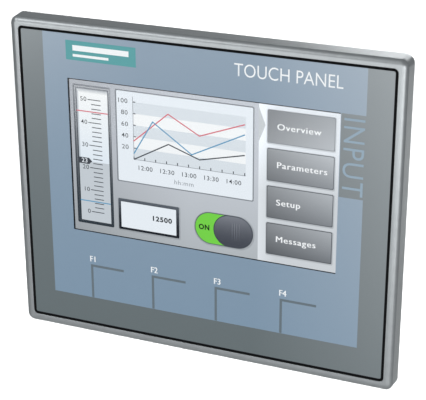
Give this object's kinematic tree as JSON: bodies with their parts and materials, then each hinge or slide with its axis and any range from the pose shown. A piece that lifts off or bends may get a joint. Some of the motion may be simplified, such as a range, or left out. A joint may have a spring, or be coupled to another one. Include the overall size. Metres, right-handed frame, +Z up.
{
  "type": "operator panel",
  "caption": "Flush-mount operator touch panel with a metallic frame, printed overlay, screen, function keys and clamped rear housing.",
  "frame": {"origin": "centre of the panel on the plane where the front frame's back face meets the cabinet wall", "axes": "+X to the right as the operator sees it, +Y into the cabinet, +Z up"},
  "size_m": [0.14, 0.033, 0.116],
  "materials": {
    "frame_metal": "satin",
    "overlay_print": "satin",
    "seal_rubber": "matte",
    "carrier_plastic": "matte",
    "touch_film": "gloss",
    "touch_glass": "gloss",
    "flat_cable": "satin",
    "display_cell": "satin",
    "frame_plastic": "satin",
    "light_guide": "gloss",
    "sheet_steel": "satin",
    "circuit_board": "satin",
    "switch_plastic": "satin",
    "chip_plastic": "matte",
    "capacitor_can": "satin",
    "screw_steel": "satin",
    "housing_plastic": "matte",
    "socket_plastic": "satin",
    "contact_metal": "gloss",
    "label_film": "satin",
    "clip_plastic": "matte"
  },
  "bodies": {
    "housing": {"front_bezel": "frame_metal", "overlay_foil": "overlay_print", "overlay_seal": "seal_rubber", "mounting_seal": "seal_rubber", "display_foam": "seal_rubber", "display_pads": "seal_rubber", "front_carrier": "carrier_plastic", "touch_film": "touch_film", "touch_glass": "touch_glass", "touch_cable": "flat_cable", "lcd_cable": "flat_cable", "keypad_cable": "flat_cable", "lcd_cell": "display_cell", "lcd_frame": "frame_plastic", "backlight_guide": "light_guide", "lcd_shield": "sheet_steel", "support_plate": "sheet_steel", "earth_bracket": "sheet_steel", "usb_port": "sheet_steel", "keypad_board": "circuit_board", "main_board": "circuit_board", "key_switches": "switch_plastic", "board_connectors": "switch_plastic", "processor": "chip_plastic", "memory_chips": "chip_plastic", "buzzer": "chip_plastic", "inductor": "chip_plastic", "capacitors": "capacitor_can", "board_screws": "screw_steel", "cover_screws": "screw_steel", "rear_cover": "housing_plastic", "power_header": "socket_plastic", "usb_tongue": "socket_plastic", "ethernet_jack": "socket_plastic", "power_pins": "contact_metal", "ethernet_contacts": "contact_metal", "rating_plate": "label_film"},
    "key_f1": {"key_face_f1": "overlay_print", "key_plunger_f1": "carrier_plastic"},
    "key_f2": {"key_face_f2": "overlay_print", "key_plunger_f2": "carrier_plastic"},
    "key_f3": {"key_face_f3": "overlay_print", "key_plunger_f3": "carrier_plastic"},
    "key_f4": {"key_face_f4": "overlay_print", "key_plunger_f4": "carrier_plastic"},
    "clip_1": {"mounting_clip_1": "clip_plastic"},
    "clip_1_foot": {"clamp_foot_1": "screw_steel"},
    "clip_1_screw": {"clamp_screw_1": "screw_steel"},
    "clip_2": {"mounting_clip_2": "clip_plastic"},
    "clip_2_foot": {"clamp_foot_2": "screw_steel"},
    "clip_2_screw": {"clamp_screw_2": "screw_steel"},
    "clip_3": {"mounting_clip_3": "clip_plastic"},
    "clip_3_foot": {"clamp_foot_3": "screw_steel"},
    "clip_3_screw": {"clamp_screw_3": "screw_steel"},
    "clip_4": {"mounting_clip_4": "clip_plastic"},
    "clip_4_foot": {"clamp_foot_4": "screw_steel"},
    "clip_4_screw": {"clamp_screw_4": "screw_steel"},
    "earth_clamp": {"earth_washer": "sheet_steel"},
    "earth_terminal_screw": {"earth_screw": "screw_steel"}
  },
  "joints": [
    {"name": "key_f1_press", "type": "slide", "parent": "housing", "child": "key_f1", "axis": [0, 1, 0], "range_m": [0, 0.0004], "stiffness_N_per_m": 2000, "springref_m": -0.0004},
    {"name": "key_f2_press", "type": "slide", "parent": "housing", "child": "key_f2", "axis": [0, 1, 0], "range_m": [0, 0.0004], "stiffness_N_per_m": 2000, "springref_m": -0.0004},
    {"name": "key_f3_press", "type": "slide", "parent": "housing", "child": "key_f3", "axis": [0, 1, 0], "range_m": [0, 0.0004], "stiffness_N_per_m": 2000, "springref_m": -0.0004},
    {"name": "key_f4_press", "type": "slide", "parent": "housing", "child": "key_f4", "axis": [0, 1, 0], "range_m": [0, 0.0004], "stiffness_N_per_m": 2000, "springref_m": -0.0004},
    {"name": "clip_1_unhook", "type": "slide", "parent": "housing", "child": "clip_1", "axis": [0, -1, 0], "range_m": [0, 0.0018]},
    {"name": "clip_1_clamp", "type": "slide", "parent": "clip_1", "child": "clip_1_foot", "axis": [0, -1, 0], "range_m": [0, 0.0044]},
    {"name": "clip_1_screw_turn", "type": "hinge", "parent": "clip_1_foot", "child": "clip_1_screw", "pos_m": [-0.0639, 0.0142, 0.025], "axis": [0, -1, 0], "range_deg": [0, 3169]},
    {"name": "clip_2_unhook", "type": "slide", "parent": "housing", "child": "clip_2", "axis": [0, -1, 0], "range_m": [0, 0.0018]},
    {"name": "clip_2_clamp", "type": "slide", "parent": "clip_2", "child": "clip_2_foot", "axis": [0, -1, 0], "range_m": [0, 0.0044]},
    {"name": "clip_2_screw_turn", "type": "hinge", "parent": "clip_2_foot", "child": "clip_2_screw", "pos_m": [0.0639, 0.0142, 0.025], "axis": [0, -1, 0], "range_deg": [0, 3169]},
    {"name": "clip_3_unhook", "type": "slide", "parent": "housing", "child": "clip_3", "axis": [0, -1, 0], "range_m": [0, 0.0018]},
    {"name": "clip_3_clamp", "type": "slide", "parent": "clip_3", "child": "clip_3_foot", "axis": [0, -1, 0], "range_m": [0, 0.0044]},
    {"name": "clip_3_screw_turn", "type": "hinge", "parent": "clip_3_foot", "child": "clip_3_screw", "pos_m": [-0.0639, 0.0142, -0.025], "axis": [0, -1, 0], "range_deg": [0, 3169]},
    {"name": "clip_4_unhook", "type": "slide", "parent": "housing", "child": "clip_4", "axis": [0, -1, 0], "range_m": [0, 0.0018]},
    {"name": "clip_4_clamp", "type": "slide", "parent": "clip_4", "child": "clip_4_foot", "axis": [0, -1, 0], "range_m": [0, 0.0044]},
    {"name": "clip_4_screw_turn", "type": "hinge", "parent": "clip_4_foot", "child": "clip_4_screw", "pos_m": [0.0639, 0.0142, -0.025], "axis": [0, -1, 0], "range_deg": [0, 3169]},
    {"name": "earth_clamp_lift", "type": "slide", "parent": "housing", "child": "earth_clamp", "axis": [0, 1, 0], "range_m": [0, 0.0014]},
    {"name": "earth_screw_turn", "type": "hinge", "parent": "earth_clamp", "child": "earth_terminal_screw", "pos_m": [0.044, 0.0225, -0.036], "axis": [0, 1, 0], "range_deg": [0, 721]}
  ],
  "couplings": [
    {"joint": "clip_1_screw_turn", "follows": "clip_1_clamp", "rad_per_m": 12566},
    {"joint": "clip_2_screw_turn", "follows": "clip_2_clamp", "rad_per_m": 12566},
    {"joint": "clip_3_screw_turn", "follows": "clip_3_clamp", "rad_per_m": 12566},
    {"joint": "clip_4_screw_turn", "follows": "clip_4_clamp", "rad_per_m": 12566},
    {"joint": "earth_screw_turn", "follows": "earth_clamp_lift", "rad_per_m": 8976}
  ]
}
